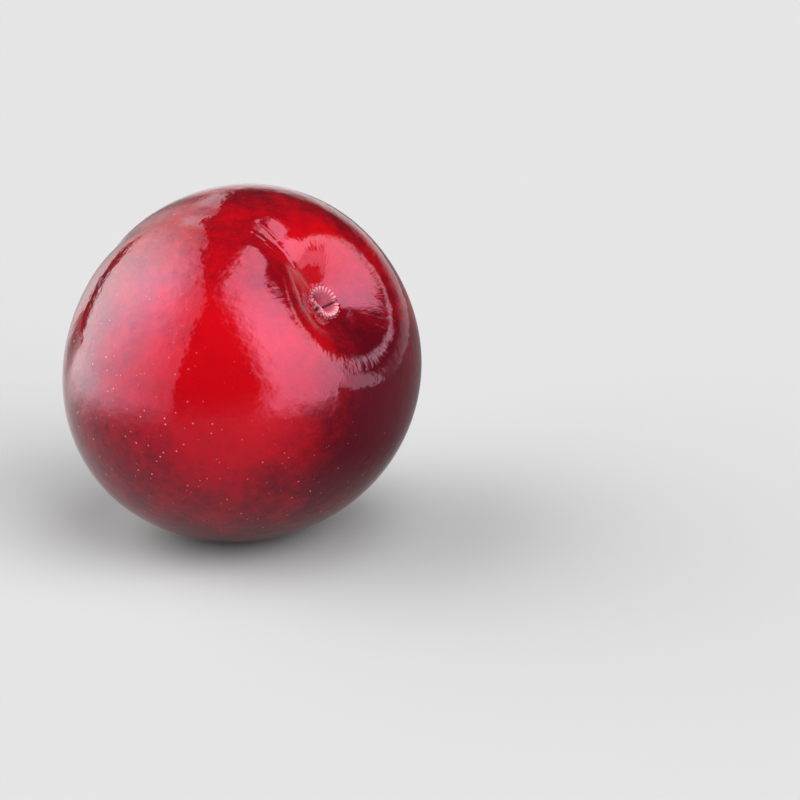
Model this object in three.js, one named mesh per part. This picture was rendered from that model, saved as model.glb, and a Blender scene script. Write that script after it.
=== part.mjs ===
// A plum, lying on its side on a table. It is one grown solid: a round body with a stem cavity, the scar
// where the stalk came away, a shallow suture groove down one side, a small tip at the blossom end and
// the small flat spot that it rests on. Millimetres, +Z up; the origin is under the middle of the fruit,
// on the table.
//
// The surface is given as a distance from the middle of the fruit for each direction. Directions are in
// the fruit's own frame: +Z points to the stem, +X to the suture groove and +Y to one cheek.
import * as THREE from "three";

// The body: radii from the middle of the fruit
const SUTURE_RADIUS = 29.5;
const CHEEK_RADIUS = 31.4;
const AXIAL_RADIUS = 30.1;
const LOBE_SHARE = 0.015; // three faint lobes round the waist, as a share of the radius
const LOBE_TURN = THREE.MathUtils.degToRad(75);

// The stem cavity: a round-bottomed funnel that runs out further on one side
const CAVITY_DEPTH = 6.6;
const CAVITY_SPREAD = 0.32; // radians from the stem axis
const CAVITY_STEEPNESS = 2.2; // exponent of its profile, where 2 is a plain bell
const CAVITY_UNEVENNESS = 0.19;
const CAVITY_LONG_SIDE = THREE.MathUtils.degToRad(208);

// The suture groove: deepest as it leaves the cavity, where it also bends a little, faint round the waist
const GROOVE_DEPTH = 0.95;
const GROOVE_DEPTH_AT_WAIST = 0.28;
const GROOVE_HALF_WIDTH = 2.7;
const GROOVE_DEEPEST_AT = 0.3; // radians from the stem axis
const GROOVE_DEEP_REACH = 0.45;
const GROOVE_BEND = 1.3;
const GROOVE_BEND_REACH = 0.2; // radians either side of its deepest place

// The stalk's scar: a corky pad with a raised edge and a dish in it, split by a crack that ends in a
// small hollow. Places on the pad are [towards the suture, towards the cheek] from the stem axis.
const SCAR_RADIUS = 2.9;
const SCAR_HEIGHT = 0.45;
const SCAR_EDGE = 0.45; // width of its sloping edge
const SCAR_LIP = { at: 2.3, halfWidth: 0.35, height: 0.15 };
const DISH = { at: [1.4, 0.8], radius: 0.9, depth: 0.35 };
const HOLLOW = { at: [0.1, 2.5], radius: 0.55, depth: 0.5 };
const CRACK = { from: [-1.4, -2.3], bend: [-0.9, -0.4], to: [-0.1, 2.2], halfWidth: 0.25, depth: 0.55 };

// The blossom end: a shallow dimple with the dried point of the flower in it
const BLOSSOM_DIMPLE_DEPTH = 0.5;
const BLOSSOM_DIMPLE_SPREAD = 0.17; // radians
const BLOSSOM_POINT_HEIGHT = 0.6;
const BLOSSOM_POINT_RADIUS = 0.8;

// How it lies: turned about its stem, leaned over from upright, then turned on the table
const SPIN = THREE.MathUtils.degToRad(204.3);
const LEAN = THREE.MathUtils.degToRad(52.7);
const HEADING = THREE.MathUtils.degToRad(-41.7);
const REST_HEIGHT = 28.8; // from the table to the middle of the fruit
const REST_BLEND = 0.25; // the skin bends into the flat spot over this height

// The mesh: rings round the stem axis, close together on the scar and in the tip, and columns that
// crowd towards the suture
const COLUMNS = 72;
const COLUMN_CROWDING = 0.6;
const FINEST_RING = 0.011; // radians between rings on the scar
const WIDEST_RING = 0.085;
const RING_GROWTH = 0.14;
const SCAR_REACH = 0.15; // radians from the stem axis that keep the finest rings
const FINEST_TIP_RING = 0.014;

const UP = new THREE.Vector3(0, 0, 1);
const LEAN_AXIS = new THREE.Vector3(0, 1, 0);

const bell = (x) => Math.exp(-x * x);
const lerp = THREE.MathUtils.lerp;
const smoothstep = THREE.MathUtils.smoothstep;

function bodyRadius(direction, polar, azimuth) {
  const ellipsoid = 1 / Math.hypot(
    direction.x / SUTURE_RADIUS,
    direction.y / CHEEK_RADIUS,
    direction.z / AXIAL_RADIUS,
  );
  const lobes = Math.cos(3 * (azimuth - LOBE_TURN)) * Math.sin(polar) ** 2;
  return ellipsoid * (1 + LOBE_SHARE * lobes);
}

function cavityDepth(polar, azimuth) {
  const spread = CAVITY_SPREAD * (1 + CAVITY_UNEVENNESS * Math.cos(azimuth - CAVITY_LONG_SIDE));
  return CAVITY_DEPTH * Math.exp(-((polar / spread) ** CAVITY_STEEPNESS));
}

function grooveDepth(direction, polar, radius) {
  const fromDeepest = polar - GROOVE_DEEPEST_AT;
  const deepest = lerp(GROOVE_DEPTH_AT_WAIST, GROOVE_DEPTH, bell(fromDeepest / GROOVE_DEEP_REACH));
  const aside = radius * direction.y - GROOVE_BEND * bell(fromDeepest / GROOVE_BEND_REACH);
  const sutureSide = smoothstep(direction.x, -0.02, 0.23);
  return deepest * bell(aside / GROOVE_HALF_WIDTH) * sutureSide;
}

// Distance from a point to the segment between two others
function distanceToSegment([x, y], [ax, ay], [bx, by]) {
  const along = ((x - ax) * (bx - ax) + (y - ay) * (by - ay)) / ((bx - ax) ** 2 + (by - ay) ** 2);
  const t = THREE.MathUtils.clamp(along, 0, 1);
  return Math.hypot(x - lerp(ax, bx, t), y - lerp(ay, by, t));
}

function pitDepth(place, pit) {
  return pit.depth * bell(Math.hypot(place[0] - pit.at[0], place[1] - pit.at[1]) / pit.radius);
}

function scarHeight(place) {
  const fromAxis = Math.hypot(...place);
  const pad = SCAR_HEIGHT * (1 - smoothstep(fromAxis, SCAR_RADIUS - SCAR_EDGE, SCAR_RADIUS));
  const lip = SCAR_LIP.height * bell((fromAxis - SCAR_LIP.at) / SCAR_LIP.halfWidth);
  const toCrack = Math.min(
    distanceToSegment(place, CRACK.from, CRACK.bend),
    distanceToSegment(place, CRACK.bend, CRACK.to),
  );
  const pits = pitDepth(place, DISH) + pitDepth(place, HOLLOW);
  return pad + lip - pits - CRACK.depth * bell(toCrack / CRACK.halfWidth);
}

function blossomHeight(polar, radius) {
  const fromTip = Math.PI - polar;
  const dimple = BLOSSOM_DIMPLE_DEPTH * bell(fromTip / BLOSSOM_DIMPLE_SPREAD);
  const point = BLOSSOM_POINT_HEIGHT * bell((fromTip * radius) / BLOSSOM_POINT_RADIUS);
  return point - dimple;
}

// The point of the skin in one direction, before the fruit is set down
function skinPoint(polar, azimuth) {
  const direction = new THREE.Vector3(
    Math.sin(polar) * Math.cos(azimuth),
    Math.sin(polar) * Math.sin(azimuth),
    Math.cos(polar),
  );
  let radius = bodyRadius(direction, polar, azimuth);
  radius -= cavityDepth(polar, azimuth);
  radius -= grooveDepth(direction, polar, radius);
  if (polar < Math.PI / 2) radius += scarHeight([radius * direction.x, radius * direction.y]);
  else radius += blossomHeight(polar, radius);
  return direction.multiplyScalar(radius);
}

// Polar angles of the rings, from just off the stem axis to just off the blossom tip
function ringAngles() {
  const angles = [];
  let polar = FINEST_RING;
  while (polar < Math.PI - FINEST_TIP_RING / 2) {
    angles.push(polar);
    const fromScar = FINEST_RING + RING_GROWTH * Math.max(0, polar - SCAR_REACH);
    const fromTip = FINEST_TIP_RING + RING_GROWTH * (Math.PI - polar);
    polar += Math.min(fromScar, fromTip, WIDEST_RING);
  }
  return angles;
}

function columnAzimuth(column) {
  const turn = (2 * Math.PI * column) / COLUMNS;
  return turn - COLUMN_CROWDING * Math.sin(turn);
}

// Presses the skin flat against a plane at REST_HEIGHT below the middle, with a soft bend into it
function pressFlat(point, down) {
  const gap = REST_HEIGHT - point.dot(down);
  const pressed = THREE.MathUtils.clamp(0.5 - (0.5 * gap) / REST_BLEND, 0, 1);
  const newGap = gap * (1 - pressed) + REST_BLEND * pressed * (1 - pressed);
  return point.addScaledVector(down, gap - newGap);
}

function fruitGeometry(down) {
  const rings = ringAngles();
  const points = [skinPoint(0, 0)];
  for (const polar of rings)
    for (let column = 0; column < COLUMNS; column++) points.push(skinPoint(polar, columnAzimuth(column)));
  points.push(skinPoint(Math.PI, 0));
  points.forEach((point) => pressFlat(point, down));

  const triangles = [];
  const at = (ring, column) => 1 + ring * COLUMNS + (column % COLUMNS);
  const last = points.length - 1;
  for (let column = 0; column < COLUMNS; column++) {
    triangles.push(0, at(0, column), at(0, column + 1));
    triangles.push(last, at(rings.length - 1, column + 1), at(rings.length - 1, column));
    for (let ring = 0; ring < rings.length - 1; ring++) {
      triangles.push(at(ring, column), at(ring + 1, column), at(ring + 1, column + 1));
      triangles.push(at(ring, column), at(ring + 1, column + 1), at(ring, column + 1));
    }
  }
  const geometry = new THREE.BufferGeometry().setFromPoints(points);
  geometry.setIndex(triangles);
  geometry.computeVertexNormals();
  return geometry;
}

// How the fruit lies, as one turn from its own frame to the table's
const lie = new THREE.Quaternion()
  .setFromAxisAngle(UP, HEADING)
  .multiply(new THREE.Quaternion().setFromAxisAngle(LEAN_AXIS, LEAN))
  .multiply(new THREE.Quaternion().setFromAxisAngle(UP, SPIN));
const down = UP.clone().negate().applyQuaternion(lie.clone().invert());

const skin = new THREE.MeshStandardMaterial({ color: "#a50512", roughness: 0.25, metalness: 0 });
const plum = new THREE.Mesh(fruitGeometry(down), skin);
plum.name = "plum";
plum.quaternion.copy(lie);
plum.updateMatrixWorld();
const bounds = new THREE.Box3().setFromObject(plum, true);
const middle = bounds.getCenter(new THREE.Vector3());
plum.position.set(-middle.x, -middle.y, REST_HEIGHT);

const fruit = new THREE.Group();
fruit.add(plum);

export default fruit;
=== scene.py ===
import math

import bpy
import numpy as np
from mathutils import Matrix, Vector


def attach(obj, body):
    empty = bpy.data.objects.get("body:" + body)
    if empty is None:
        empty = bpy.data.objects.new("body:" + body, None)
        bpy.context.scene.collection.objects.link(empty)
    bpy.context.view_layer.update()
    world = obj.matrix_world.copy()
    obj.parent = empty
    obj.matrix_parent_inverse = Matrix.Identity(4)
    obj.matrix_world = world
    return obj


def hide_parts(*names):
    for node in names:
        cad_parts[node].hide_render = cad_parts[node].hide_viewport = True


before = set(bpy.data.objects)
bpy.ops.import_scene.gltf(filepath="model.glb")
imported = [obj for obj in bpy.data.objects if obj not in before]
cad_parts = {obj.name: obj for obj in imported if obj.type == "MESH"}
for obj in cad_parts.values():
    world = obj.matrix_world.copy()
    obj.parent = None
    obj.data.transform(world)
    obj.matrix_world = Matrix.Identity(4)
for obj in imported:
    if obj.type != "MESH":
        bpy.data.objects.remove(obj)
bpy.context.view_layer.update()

MM = 0.001

# The body
SUTURE_RADIUS = 29.5
CHEEK_RADIUS = 31.4
AXIAL_RADIUS = 30.1
LOBES = 3
LOBE_SHARE = 0.015
LOBE_TURN = math.radians(75)
SKIN_INSET = 0.02  # keeps this finer mesh inside the box of the coarser solid

# The stem cavity
CAVITY_DEPTH = 6.6
CAVITY_SPREAD = 0.32
CAVITY_STEEPNESS = 2.2
CAVITY_UNEVENNESS = 0.19
CAVITY_LONG_SIDE = math.radians(208)

# The suture groove
GROOVE_DEPTH = 0.95
GROOVE_DEPTH_AT_WAIST = 0.28
GROOVE_HALF_WIDTH = 2.7
GROOVE_DEEPEST_AT = 0.3
GROOVE_DEEP_REACH = 0.45
GROOVE_BEND = 1.3
GROOVE_BEND_REACH = 0.2
GROOVE_SETS_IN = (-0.02, 0.23)  # how far a direction turns to the suture, from no groove to all of it

# Wrinkles that run out of the cavity along the groove: [polar, towards the cheek] from end to end
WRINKLES = (
    ((0.60, -1.82), (0.46, -0.34)),
    ((0.51, 0.50), (0.43, 0.95), (0.36, 1.25)),
    ((0.39, 1.32), (0.29, 1.56)),
    ((0.53, 2.06), (0.41, 2.84)),
    ((0.59, 1.16), (0.50, 1.75)),
)
WRINKLE_DEPTH = 0.13
WRINKLE_HALF_WIDTH = 0.24

# The stalk's scar: a corky pad with a toothed rim and a dish in it, split by a crack, with a small hollow
# beside the crack. "paint" is how strongly a feature's colour covers the cork, over "paint_width"
SCAR_RADIUS = 2.9
SCAR_HEIGHT = 0.45
SCAR_EDGE = 0.45
SCAR_LIP = {"at": 2.3, "half_width": 0.35, "height": 0.15}
DISH = {"at": (1.4, 0.8), "radius": 0.9, "depth": 0.45, "paint": 1.3}
HOLLOW = {"at": (0.15, 2.35), "radius": 0.55, "depth": 0.7, "paint": 1.2}
CRACK = {
    "path": ((-1.5, -2.4), (-0.99, -0.65), (-0.6, 0.55), (-0.45, 1.2)),
    "half_width": 0.14,
    "depth": 0.5,
    "paint_width": 0.12,
}
CURLED_LIP = {
    "path": ((2.13, 2.22), (1.34, 2.36), (0.46, 1.71), (-0.37, 1.74), (-0.64, 2.59)),
    "half_width": 0.24,
    "height": 0.3,
    "paint": 0.8,
    "paint_width": 0.22,
}
OUTER_LOBE = {
    "path": ((-2.5, -1.2), (-2.7, 0.2), (-2.03, 2.07), (-0.94, 2.8)),
    "half_width": 0.38,
    "height": 0.25,
    "paint_width": 0.4,
}
TEETH = {"count": 23, "at": 2.45, "half_width": 0.45, "height": 0.16, "paint_width": 0.5}

# The blossom end
BLOSSOM_DIMPLE_DEPTH = 0.5
BLOSSOM_DIMPLE_SPREAD = 0.17
BLOSSOM_POINT_HEIGHT = 0.6
BLOSSOM_POINT_RADIUS = 0.8

# How it lies
SPIN = math.radians(204.3)
LEAN = math.radians(52.7)
HEADING = math.radians(-41.7)
REST_HEIGHT = 28.8
REST_BLEND = 0.25

# The mesh: columns that crowd towards the suture, and rings whose spacing in radians grows from the scar,
# through the cavity, to the body
COLUMNS = 320
COLUMN_CROWDING = 0.35
SCAR_RING = 0.003
CAVITY_RING = 0.0075
BODY_RING = 0.0155
SCAR_REACH = 0.13
CAVITY_REACH = 0.62
RING_EASE = 0.12

# The cavity's streaks: noise cells round the fruit and along it, per radian
STREAKS_ROUND = 20.0
STREAKS_ALONG = 7.5

# The camera: the fruit's middle is this far to the left of the view axis, above it and along it
LENS = 100.0
SENSOR_WIDTH = 36.0
CAMERA_ELEVATION = math.radians(18)
VIEW_LEFT = 26.54
VIEW_UP = 5.93
VIEW_DEPTH = 374.74


def bell(x):
    return np.exp(-np.square(x))


def lerp(a, b, t):
    return a + (b - a) * t


def smoothstep(x, low, high):
    t = np.clip((x - low) / (high - low), 0, 1)
    return t * t * (3 - 2 * t)


def body_radius(direction, polar, azimuth):
    radii = np.array([SUTURE_RADIUS, CHEEK_RADIUS, AXIAL_RADIUS])
    ellipsoid = 1 / np.linalg.norm(direction / radii, axis=-1)
    lobes = np.cos(LOBES * (azimuth - LOBE_TURN)) * np.sin(polar) ** 2
    return ellipsoid * (1 + LOBE_SHARE * lobes)


def cavity_depth(polar, azimuth):
    spread = CAVITY_SPREAD * (1 + CAVITY_UNEVENNESS * np.cos(azimuth - CAVITY_LONG_SIDE))
    return CAVITY_DEPTH * np.exp(-((polar / spread) ** CAVITY_STEEPNESS))


def groove_depth(direction, polar, radius):
    from_deepest = polar - GROOVE_DEEPEST_AT
    deepest = lerp(GROOVE_DEPTH_AT_WAIST, GROOVE_DEPTH, bell(from_deepest / GROOVE_DEEP_REACH))
    aside = radius * direction[..., 1] - GROOVE_BEND * bell(from_deepest / GROOVE_BEND_REACH)
    suture_side = smoothstep(direction[..., 0], *GROOVE_SETS_IN)
    return deepest * bell(aside / GROOVE_HALF_WIDTH) * suture_side


def distance_to_path(x, y, path):
    """Distance from each point to a line of straight pieces."""
    nearest = np.full(np.shape(x), np.inf)
    for (ax, ay), (bx, by) in zip(path, path[1:]):
        along = (x - ax) * (bx - ax) + (y - ay) * (by - ay)
        t = np.clip(along / ((bx - ax) ** 2 + (by - ay) ** 2), 0, 1)
        nearest = np.minimum(nearest, np.hypot(x - lerp(ax, bx, t), y - lerp(ay, by, t)))
    return nearest


def wrinkle_depth(direction, polar, radius):
    """Fine grooves at the suture side of the cavity."""
    reach = AXIAL_RADIUS  # turns polar angles into lengths
    aside = radius * direction[..., 1]
    depth = np.zeros(np.shape(polar))
    for path in WRINKLES:
        in_lengths = [(reach * at, side) for at, side in path]
        away = distance_to_path(reach * polar, aside, in_lengths)
        depth = np.maximum(depth, WRINKLE_DEPTH * bell(away / WRINKLE_HALF_WIDTH))
    return depth * (direction[..., 0] > 0)


def pit_depth(u, v, pit):
    return pit["depth"] * bell(np.hypot(u - pit["at"][0], v - pit["at"][1]) / pit["radius"])


def scar_height(u, v):
    from_axis = np.hypot(u, v)
    turn = np.arctan2(v, u)
    pad = SCAR_HEIGHT * (1 - smoothstep(from_axis, SCAR_RADIUS - SCAR_EDGE, SCAR_RADIUS))
    height = pad + SCAR_LIP["height"] * bell((from_axis - SCAR_LIP["at"]) / SCAR_LIP["half_width"])
    for ridge in (CURLED_LIP, OUTER_LOBE):
        height += ridge["height"] * bell(distance_to_path(u, v, ridge["path"]) / ridge["half_width"])
    teeth = np.cos(TEETH["count"] * turn) * bell((from_axis - TEETH["at"]) / TEETH["half_width"])
    height += TEETH["height"] * teeth
    height -= pit_depth(u, v, DISH) + pit_depth(u, v, HOLLOW)
    return height - CRACK["depth"] * bell(distance_to_path(u, v, CRACK["path"]) / CRACK["half_width"])


def blossom_height(polar, radius):
    from_tip = math.pi - polar
    dimple = BLOSSOM_DIMPLE_DEPTH * bell(from_tip / BLOSSOM_DIMPLE_SPREAD)
    return BLOSSOM_POINT_HEIGHT * bell(from_tip * radius / BLOSSOM_POINT_RADIUS) - dimple


def skin_points(polar, azimuth):
    """Points of the skin for arrays of directions, before the fruit is set down."""
    direction = np.stack(
        [np.sin(polar) * np.cos(azimuth), np.sin(polar) * np.sin(azimuth), np.cos(polar)], axis=-1
    )
    radius = body_radius(direction, polar, azimuth)
    radius = radius - cavity_depth(polar, azimuth)
    radius = radius - groove_depth(direction, polar, radius)
    radius = radius - wrinkle_depth(direction, polar, radius)
    scar = scar_height(radius * direction[..., 0], radius * direction[..., 1])
    radius = radius + np.where(polar < math.pi / 2, scar, blossom_height(polar, radius))
    return direction * (radius - SKIN_INSET)[..., None]


def press_flat(points, down):
    """Presses the skin flat against the table, with a soft bend into the flat."""
    gap = REST_HEIGHT - points @ down
    pressed = np.clip(0.5 - 0.5 * gap / REST_BLEND, 0, 1)
    new_gap = gap * (1 - pressed) + REST_BLEND * pressed * (1 - pressed)
    return points + (gap - new_gap)[:, None] * down


def ring_angles():
    angles = []
    polar = SCAR_RING
    while polar < math.pi - SCAR_RING:
        angles.append(polar)
        to_cavity = smoothstep(polar, SCAR_REACH, SCAR_REACH + RING_EASE)
        to_body = smoothstep(polar, CAVITY_REACH, CAVITY_REACH + RING_EASE)
        step = lerp(lerp(SCAR_RING, CAVITY_RING, to_cavity), BODY_RING, to_body)
        polar += min(step, SCAR_RING + RING_EASE * (math.pi - polar))
    return np.array(angles)


def fruit_mesh(lie):
    """The skin as a mesh in metres, centred over the origin, with the attributes its material reads."""
    turn = 2 * math.pi * np.arange(COLUMNS) / COLUMNS
    azimuths = turn - COLUMN_CROWDING * np.sin(turn)
    rings = ring_angles()
    polar = np.concatenate([[0], np.repeat(rings, COLUMNS), [math.pi]])
    azimuth = np.concatenate([[0], np.tile(azimuths, len(rings)), [0]])
    points = skin_points(polar, azimuth)
    down = np.array(lie.inverted() @ Vector((0, 0, -1)))
    pressed = press_flat(points, down)
    placed = pressed @ np.array(lie.to_matrix()).T
    low, high = placed.min(axis=0), placed.max(axis=0)
    middle = (low + high) / 2
    placed += (-middle[0], -middle[1], REST_HEIGHT)

    first = 1 + np.arange(len(rings) * COLUMNS).reshape(len(rings), COLUMNS)
    after = np.roll(first, -1, axis=1)
    quads = np.stack([first[:-1], first[1:], after[1:], after[:-1]], axis=-1).reshape(-1, 4)
    last = len(placed) - 1
    faces = quads.tolist()
    faces += [(0, a, b) for a, b in zip(first[0].tolist(), after[0].tolist())]
    faces += [(last, b, a) for a, b in zip(first[-1].tolist(), after[-1].tolist())]
    mesh = bpy.data.meshes.new("plum_skin")
    mesh.from_pydata((placed * MM).tolist(), [], faces)
    mesh.polygons.foreach_set("use_smooth", [True] * len(mesh.polygons))
    add_attribute(mesh, "fruit_place", points)
    streak = np.stack(
        [np.cos(azimuth) * STREAKS_ROUND, np.sin(azimuth) * STREAKS_ROUND, polar * STREAKS_ALONG], axis=-1
    )
    add_attribute(mesh, "streak_place", streak)
    add_attribute(mesh, "polar", polar)
    # painted light and shade, which the skin's colour reads
    add_attribute(mesh, "painted_light_and_shade", painted_light_and_shade(points))
    cork, tint = scar_paint(points[:, 0], points[:, 1], polar)
    add_attribute(mesh, "cork", cork)
    add_attribute(mesh, "cork_tint", tint)
    mesh.validate()
    return mesh, Vector((-middle[0], -middle[1], REST_HEIGHT))


def add_attribute(mesh, name, values):
    values = np.asarray(values, dtype=float)
    if values.ndim == 2:
        mesh.attributes.new(name, "FLOAT_VECTOR", "POINT").data.foreach_set("vector", values.ravel())
    else:
        mesh.attributes.new(name, "FLOAT", "POINT").data.foreach_set("value", values)


# The scar's colours, linear, and where its cork ends, measured from the scar's radius
CORK_PALE = (0.62, 0.22, 0.26)
CORK = (0.15, 0.02, 0.028)
CORK_DEEP = (0.10, 0.0, 0.004)
CRACK_RED = (0.03, 0.001, 0.002)
CORK_EDGE = (-0.25, 0.05)


def scar_paint(u, v, polar):
    """How far each point is cork rather than skin, and the cork's colour there."""
    from_axis = np.hypot(u, v)
    cork = 1 - smoothstep(from_axis, SCAR_RADIUS + CORK_EDGE[0], SCAR_RADIUS + CORK_EDGE[1])
    cork = cork * (polar < math.pi / 2)
    tint = np.tile(np.array(CORK), (len(u), 1))

    def paint(colour, share):
        tint[:] = lerp(tint, np.array(colour), np.clip(share, 0, 1)[:, None])

    def along(feature):
        return bell(distance_to_path(u, v, feature["path"]) / feature["paint_width"])

    # The cork is painted paler along the teeth's tops, the outer lobe and the curled lip, darker the deeper
    # the dish, and dark red the deeper the hollow and along the crack
    rim = bell((from_axis - TEETH["at"]) / TEETH["paint_width"])
    tooth = 0.5 + 0.5 * np.cos(TEETH["count"] * np.arctan2(v, u))
    paint(CORK_PALE, rim * tooth)
    paint(CORK_PALE, along(OUTER_LOBE))
    paint(CORK_PALE, CURLED_LIP["paint"] * along(CURLED_LIP))
    paint(CORK_DEEP, DISH["paint"] * pit_depth(u, v, DISH) / DISH["depth"])
    paint(CRACK_RED, HOLLOW["paint"] * pit_depth(u, v, HOLLOW) / HOLLOW["depth"])
    paint(CRACK_RED, along(CRACK))
    return cork, tint


# Painted light and shade: patches painted brighter than the rest where light falls, or darker, below 0,
# where shade falls; the side's patch is painted shadow and reflection of the cut half beside the plum,
# which is not built. Each holds the patch's polar angle and azimuth in degrees, how far it reaches in
# radians, and how much it counts
PAINTED_LIGHT_BASE = 0.17
PAINTED_LIGHT_AND_SHADE_PATCHES = {
    "cheek, painted light": (50, 86, 0.60, 1.0),
    "shoulder, painted light": (18, -28, 0.24, 0.75),
    "suture, painted light": (48, 6, 0.48, 0.25),
    "cavity wall, painted light": (20, -115, 0.30, 0.35),
    # painted shadow and reflection of the cut half beside the plum, which is not built
    "side, painted shadow and reflection of the cut half": (48, 157, 0.42, -0.7),
    "cavity wall, painted shade": (22, -172, 0.28, -0.4),
    "cavity edge, painted shade": (21, 52, 0.16, -0.3),
}


# Painted light and shade: a base level, with the lit and shaded patches added
def painted_light_and_shade(points):
    direction = points / np.linalg.norm(points, axis=1)[:, None]
    total = np.full(len(points), PAINTED_LIGHT_BASE)
    for polar, azimuth, reach, amount in PAINTED_LIGHT_AND_SHADE_PATCHES.values():
        polar = math.radians(polar)
        azimuth = math.radians(azimuth)
        middle = (math.sin(polar) * math.cos(azimuth), math.sin(polar) * math.sin(azimuth), math.cos(polar))
        angle = np.arccos(np.clip(direction @ middle, -1, 1))
        total += amount * bell(angle / reach)
    return total


# The skin's colours, linear, from where its painted light and shade, with its uneven tone, is deepest to
# where it is brightest
SKIN_DEEP = (0.036, 0.0008, 0.003)
SKIN_BRIGHT = (0.225, 0.0008, 0.0025)
LIGHT_SHADE_AND_TONE_RANGE = (-0.15, 1.15)

# Noise that makes the colour uneven, finer and finer: cells per millimetre and octaves, with the amount
TONE_NOISES = (
    ((0.13, 3.0), 1.0),
    ((0.6, 4.0), 0.6),
    ((2.4, 2.0), 0.3),
)

# Pale pinpricks in the skin: millimetres between them, the edge of one as shares of that, the polar
# angles over which they set in, and how strong they are, which varies over patches
LENTICEL = (0.60, 0.16, 0.20)
LENTICEL_SPACING = 1.4
LENTICEL_EDGE = (0.07, 0.13)
LENTICELS_SET_IN = (0.6, 1.5)
LENTICEL_PATCHES = (0.3, 0.0)
LENTICEL_PATCH_RANGE = (0.35, 0.65)
LENTICEL_STRENGTH = (0.15, 0.7)

# Fine relief: heights in millimetres, noise as cells per millimetre and octaves, and the polar angles over
# which the streaks set in and end
STREAK_HEIGHT = 0.022
STREAK_OCTAVES = 2.0
STREAKS_SET_IN = (0.12, 0.3)
STREAKS_END = (0.6, 1.15)
UNDULATION_HEIGHT = 0.09
UNDULATION = (0.45, 2.0)
LENTICEL_HEIGHT = 0.02
CORK_GRAIN_HEIGHT = 0.25
CORK_GRAIN = (5.0, 3.0)

# Gloss
SKIN_ROUGHNESS = 0.09
CORK_ROUGHNESS = 0.6
SKIN_IOR = 1.49
SPECULAR_TINT = (1.0, 0.38, 0.62, 1)


class Nodes:
    """Short calls for making and joining shader nodes."""

    def __init__(self, tree):
        self.tree = tree
        tree.nodes.clear()

    def add(self, kind, inputs=None, **settings):
        node = self.tree.nodes.new(kind)
        for name, value in settings.items():
            setattr(node, name, value)
        for name, value in (inputs or {}).items():
            self.feed(node.inputs[name], value)
        return node

    def feed(self, socket, value):
        if isinstance(value, bpy.types.NodeSocket):
            self.tree.links.new(value, socket)
        else:
            socket.default_value = value

    def attribute(self, name, output="Fac"):
        return self.add("ShaderNodeAttribute", attribute_name=name).outputs[output]

    def math(self, operation, a, b=0.0, c=0.0):
        return self.add("ShaderNodeMath", {0: a, 1: b, 2: c}, operation=operation).outputs[0]

    def product(self, *factors):
        total = factors[0]
        for factor in factors[1:]:
            total = self.math("MULTIPLY", total, factor)
        return total

    def dot(self, place, direction):
        """How far a place reaches along a direction, which need not be of length 1."""
        unit = Vector(direction).normalized()
        node = self.add("ShaderNodeVectorMath", {0: place, 1: unit}, operation="DOT_PRODUCT")
        return node.outputs["Value"]

    def ramp(self, value, ends, to_ends=(0.0, 1.0)):
        """Eases from one value to the other between the two ends."""
        inputs = {
            "Value": value,
            "From Min": ends[0],
            "From Max": ends[1],
            "To Min": to_ends[0],
            "To Max": to_ends[1],
        }
        return self.add("ShaderNodeMapRange", inputs, interpolation_type="SMOOTHSTEP").outputs[0]

    def fade(self, value, ends):
        return self.ramp(value, ends, (1.0, 0.0))

    def distance(self, value, middle):
        return self.math("ABSOLUTE", self.math("SUBTRACT", value, middle))

    def mix(self, factor, a, b):
        node = self.add("ShaderNodeMix", data_type="RGBA")
        self.feed(node.inputs[0], factor)
        for socket, colour in ((node.inputs[6], a), (node.inputs[7], b)):
            self.feed(socket, colour if isinstance(colour, bpy.types.NodeSocket) else (*colour, 1))
        return node.outputs[2]

    def noise(self, place, scale, octaves):
        inputs = {"Vector": place, "Scale": scale, "Detail": octaves}
        return self.add("ShaderNodeTexNoise", inputs).outputs[0]

    def relief(self, height, millimetres, normal=None):
        inputs = {"Height": height, "Distance": millimetres * MM}
        if normal:
            inputs["Normal"] = normal
        return self.add("ShaderNodeBump", inputs).outputs[0]

    def camera_sees(self):
        return self.add("ShaderNodeLightPath").outputs["Is Camera Ray"]


def skin_colour(n, place, dots, cork):
    # Painted light and shade, made uneven by noise in the skin's own tone, sets the colour between deep and
    # bright
    light_shade_and_tone = n.attribute("painted_light_and_shade")
    for noise, amount in TONE_NOISES:
        uneven = n.math("MULTIPLY_ADD", n.noise(place, *noise), amount, -amount / 2)
        light_shade_and_tone = n.math("ADD", light_shade_and_tone, uneven)
    colour = n.mix(n.ramp(light_shade_and_tone, LIGHT_SHADE_AND_TONE_RANGE), SKIN_DEEP, SKIN_BRIGHT)
    strength = n.ramp(n.noise(place, *LENTICEL_PATCHES), LENTICEL_PATCH_RANGE, LENTICEL_STRENGTH)
    colour = n.mix(n.product(dots, strength), colour, LENTICEL)
    return n.mix(cork, colour, n.attribute("cork_tint", "Vector"))


def skin_relief(n, place, polar, dots, cork):
    streaks = n.noise(n.attribute("streak_place", "Vector"), 1.0, STREAK_OCTAVES)
    streaks = n.product(streaks, n.ramp(polar, STREAKS_SET_IN), n.fade(polar, STREAKS_END))
    normal = n.relief(streaks, STREAK_HEIGHT)
    normal = n.relief(n.noise(place, *UNDULATION), UNDULATION_HEIGHT, normal)
    normal = n.relief(dots, LENTICEL_HEIGHT, normal)
    return n.relief(n.product(n.noise(place, *CORK_GRAIN), cork), CORK_GRAIN_HEIGHT, normal)


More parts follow.
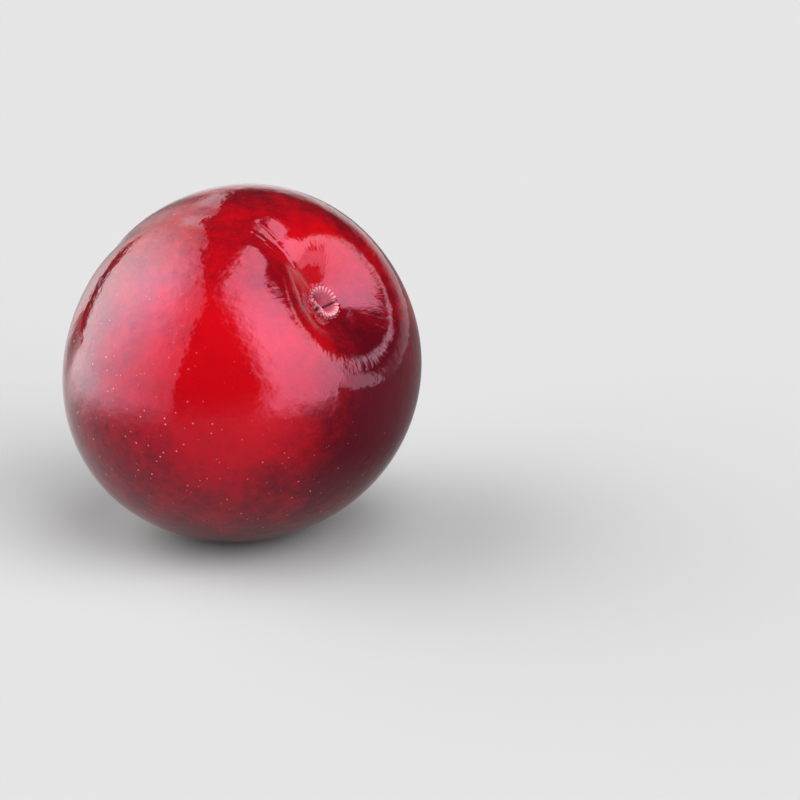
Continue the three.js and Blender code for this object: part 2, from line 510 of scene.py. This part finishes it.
def skin_material():
    material = bpy.data.materials.new("plum_skin")
    material.use_nodes = True
    n = Nodes(material.node_tree)
    place = n.attribute("fruit_place", "Vector")
    polar = n.attribute("polar")
    cork = n.attribute("cork")
    cells = n.add("ShaderNodeTexVoronoi", {"Vector": place, "Scale": 1 / LENTICEL_SPACING})
    dots = n.product(n.fade(cells.outputs["Distance"], LENTICEL_EDGE), n.ramp(polar, LENTICELS_SET_IN))
    surface = n.add("ShaderNodeBsdfPrincipled", {
        "Base Color": skin_colour(n, place, dots, cork),
        "Roughness": n.ramp(cork, (0.0, 1.0), (SKIN_ROUGHNESS, CORK_ROUGHNESS)),
        "IOR": SKIN_IOR,
        "Specular Tint": SPECULAR_TINT,
        "Normal": skin_relief(n, place, polar, dots, cork),
    })
    n.add("ShaderNodeOutputMaterial", {"Surface": surface.outputs[0]})
    return material


# The lights are drawn by direction from the fruit, as [x, y, z]. Pairs are the two ends of a soft edge.
#
# The long window on the left is drawn in the plane x = -1, "along" it in y and "above" in z. It is
# brightest at its middle, and halved where the square of the distance along or above reaches these
WINDOW_NEAR_EDGE = (-1.5, -1.36)
WINDOW_FAR_FADE = (2.6, 6.0)
WINDOW_TOP_EDGE = (2.7, 2.95)
WINDOW_STRENGTH = 8.8
WINDOW_MIDDLE = (0.1, 0.95)
WINDOW_HALVED_AT = (0.6, 1.3)
LEAST_AWAY = 0.001  # stands in for the distance where a direction doesn't meet the plane

# A dark slanting post low in the window: where its line starts and how it slants, its edges beside that
# line, the height of its middle and its ends from there
POST_FOOT = 1.0
POST_SLANT = 1.5
POST_EDGE = (0.22, 0.38)
POST_MIDDLE = 0.1
POST_ENDS = (0.35, 0.6)

# A faint strip under the window's top edge, further along
STRIP_BOTTOM = (1.2, 1.9)
STRIP_BEGINS = (1.6, 2.6)
STRIP_FADE = (4.5, 8.0)
STRIP_STRENGTH = 1.4

# The softbox in front and to the right, brightest towards one direction and bounded by planes through the
# fruit. Each plane is given by the direction to its lit side and the width of its soft edge
BOX_BRIGHTEST = (0.478, -0.569, 0.669)
BOX_FALL_OFF = 2.2
BOX_PEAK = 6.0
BOX_STRENGTH = 2.4
BOX_EDGES = (
    ((0.852, 0.452, 0.268), 0.32),
    ((-0.164, -0.639, 0.752), 0.09),
    ((0.90, -0.42, 0.045), 0.12),
)
BOX_RIGHT_EDGE = ((0.40, -0.92, 0.02), 0.12)
BOX_OVERHEAD = (0.89, 0.93)  # in z, where it reaches past its right edge

# A flag that darkens its far, high corner, and a small reflector low on the right
FLAG_EDGE = ((-0.35, 0.87, 0.35), 0.14)
FLAG_FROM_X = (0.38, 0.48)
FLAG_FROM_Z = (0.47, 0.56)
REFLECTOR_AT = (1.0, 0.02, 0.08)
REFLECTOR_EDGE = (0.970, 0.990)
REFLECTOR_STRENGTH = 2.8

# A low pale backdrop behind the fruit, to the right, the dim room, and the plain grey seen past the floor
BACKDROP_FROM_X = (-0.28, -0.12)
BACKDROP_FROM_Y = (0.15, 0.55)
BACKDROP_TOP = (0.10, 0.34)
ROOM = 0.04
GREY_SEEN = (0.82, 0.82, 0.82)


def lit_side(n, place, direction, width):
    return n.ramp(n.dot(place, direction), (-width / 2, width / 2))


def window_light(n, x, y, z):
    away = n.math("MAXIMUM", n.math("MULTIPLY", x, -1.0), LEAST_AWAY)
    along = n.math("DIVIDE", y, away)
    above = n.math("DIVIDE", z, away)
    top = n.fade(above, WINDOW_TOP_EDGE)
    beside_post = n.ramp(n.distance(along, n.math("MULTIPLY_ADD", above, POST_SLANT, POST_FOOT)), POST_EDGE)
    beyond_post = n.ramp(n.distance(above, POST_MIDDLE), POST_ENDS)
    pane = n.product(n.ramp(along, WINDOW_NEAR_EDGE), n.fade(along, WINDOW_FAR_FADE), top)
    pane = n.product(pane, n.math("MAXIMUM", beside_post, beyond_post))
    spread = 1.0
    for value, middle, halved_at in zip((along, above), WINDOW_MIDDLE, WINDOW_HALVED_AT):
        squared = n.math("POWER", n.distance(value, middle), 2.0)
        spread = n.math("MULTIPLY_ADD", squared, 1 / halved_at, spread)
    pane = n.math("DIVIDE", n.product(pane, WINDOW_STRENGTH), spread)
    strip = n.product(n.ramp(above, STRIP_BOTTOM), top, n.ramp(along, STRIP_BEGINS))
    strip = n.product(strip, n.ramp(along, STRIP_FADE, (STRIP_STRENGTH, 0.0)))
    return n.math("ADD", pane, strip)


def softbox_light(n, place, x, z):
    towards = n.dot(place, BOX_BRIGHTEST)
    peak = n.math("EXPONENT", n.math("MULTIPLY_ADD", towards, BOX_FALL_OFF, -BOX_FALL_OFF))
    box = n.math("MULTIPLY_ADD", peak, BOX_PEAK, BOX_STRENGTH)
    for direction, width in BOX_EDGES:
        box = n.product(box, lit_side(n, place, direction, width))
    box = n.product(box, n.math("MAXIMUM", lit_side(n, place, *BOX_RIGHT_EDGE), n.ramp(z, BOX_OVERHEAD)))
    flag = n.product(lit_side(n, place, *FLAG_EDGE), n.ramp(x, FLAG_FROM_X), n.ramp(z, FLAG_FROM_Z))
    box = n.product(box, n.math("SUBTRACT", 1.0, flag))
    reflector = n.ramp(n.dot(place, REFLECTOR_AT), REFLECTOR_EDGE, (0.0, REFLECTOR_STRENGTH))
    return n.math("MAXIMUM", box, reflector)


def studio_world():
    """The window, the softbox, the backdrop and the dim room, as a sky round the table."""
    world = bpy.data.worlds.new("studio")
    bpy.context.scene.world = world
    world.use_nodes = True
    n = Nodes(world.node_tree)
    place = n.add("ShaderNodeTexCoord").outputs["Generated"]
    x, y, z = n.add("ShaderNodeSeparateXYZ", {0: place}).outputs
    backdrop = n.product(n.ramp(x, BACKDROP_FROM_X), n.ramp(y, BACKDROP_FROM_Y), n.fade(z, BACKDROP_TOP))
    light = n.math("ADD", window_light(n, x, y, z), softbox_light(n, place, x, z))
    light = n.math("ADD", light, n.math("ADD", backdrop, ROOM))
    sky = n.add("ShaderNodeBackground", {"Color": n.mix(n.camera_sees(), light, GREY_SEEN)})
    n.add("ShaderNodeOutputWorld", {"Surface": sky.outputs[0]})


# The floor, in metres: matt to the eye, with a sheen at grazing angles that carries the lights on below
# the horizon in the fruit's skin. What the skin reflects of the floor on the right, behind a slanting
# line, is dark and matt: painted shade, a dark patch that stands in for the cut half beside the plum,
# which is not built, and the shade it casts, also in the light the floor throws back onto the skin
FLOOR_RADIUS = 4.0
FLOOR_SIDES = 64
FLOOR_GREY = (0.24, 0.24, 0.24)
FLOOR_DARK = (0.08, 0.08, 0.08)
SHEEN_ROUGHNESS = 0.15
SHEEN_ANGLES = (0.62, 1.0)
RIGHT_FROM_X = (0.0, 0.05)
RIGHT_FROM_Y = (-0.07, -0.02)
RIGHT_SLANT = 0.26


def pale_floor():
    bpy.ops.mesh.primitive_circle_add(vertices=FLOOR_SIDES, radius=FLOOR_RADIUS, fill_type="NGON")
    floor = bpy.context.object
    floor.name = "floor"
    material = bpy.data.materials.new("floor")
    material.use_nodes = True
    n = Nodes(material.node_tree)
    position = n.add("ShaderNodeNewGeometry").outputs["Position"]
    x, y, _ = n.add("ShaderNodeSeparateXYZ", {0: position}).outputs
    # Painted shade: on the right, behind a slanting line, the floor is dark to all but camera rays
    behind_line = n.ramp(n.math("MULTIPLY_ADD", x, RIGHT_SLANT, y), RIGHT_FROM_Y)
    right_side = n.product(n.ramp(x, RIGHT_FROM_X), behind_line)
    reflected = n.math("SUBTRACT", 1.0, n.camera_sees())
    grey = n.mix(n.product(reflected, right_side), FLOOR_GREY, FLOOR_DARK)
    matt = n.add("ShaderNodeBsdfDiffuse", {"Color": grey})
    sheen = n.add("ShaderNodeBsdfGlossy", {"Color": (1, 1, 1, 1), "Roughness": SHEEN_ROUGHNESS})
    grazing = n.ramp(n.add("ShaderNodeLayerWeight").outputs["Facing"], SHEEN_ANGLES)
    share = n.product(grazing, reflected, n.math("SUBTRACT", 1.0, right_side))
    surface = n.add("ShaderNodeMixShader", {0: share, 1: matt.outputs[0], 2: sheen.outputs[0]})
    n.add("ShaderNodeOutputMaterial", {"Surface": surface.outputs[0]})
    floor.data.materials.append(material)


def photo_camera(middle):
    data = bpy.data.cameras.new("camera")
    data.lens = LENS
    data.sensor_width = SENSOR_WIDTH
    camera = bpy.data.objects.new("camera", data)
    bpy.context.collection.objects.link(camera)
    turn = Matrix.Rotation(math.pi / 2 - CAMERA_ELEVATION, 3, "X")
    seen_at = Vector((-VIEW_LEFT, VIEW_UP, -VIEW_DEPTH))
    camera.location = (middle - turn @ seen_at) * MM
    camera.rotation_euler = turn.to_euler()
    bpy.context.scene.camera = camera


lie = (
    Matrix.Rotation(HEADING, 3, "Z") @ Matrix.Rotation(LEAN, 3, "Y") @ Matrix.Rotation(SPIN, 3, "Z")
).to_quaternion()
mesh, middle = fruit_mesh(lie)
plum = bpy.data.objects.new("plum_skin", mesh)
bpy.context.collection.objects.link(plum)
mesh.materials.append(skin_material())
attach(plum, "root")
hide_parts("plum")

studio_world()
pale_floor()
photo_camera(middle)
bpy.context.scene.view_settings.view_transform = "Standard"
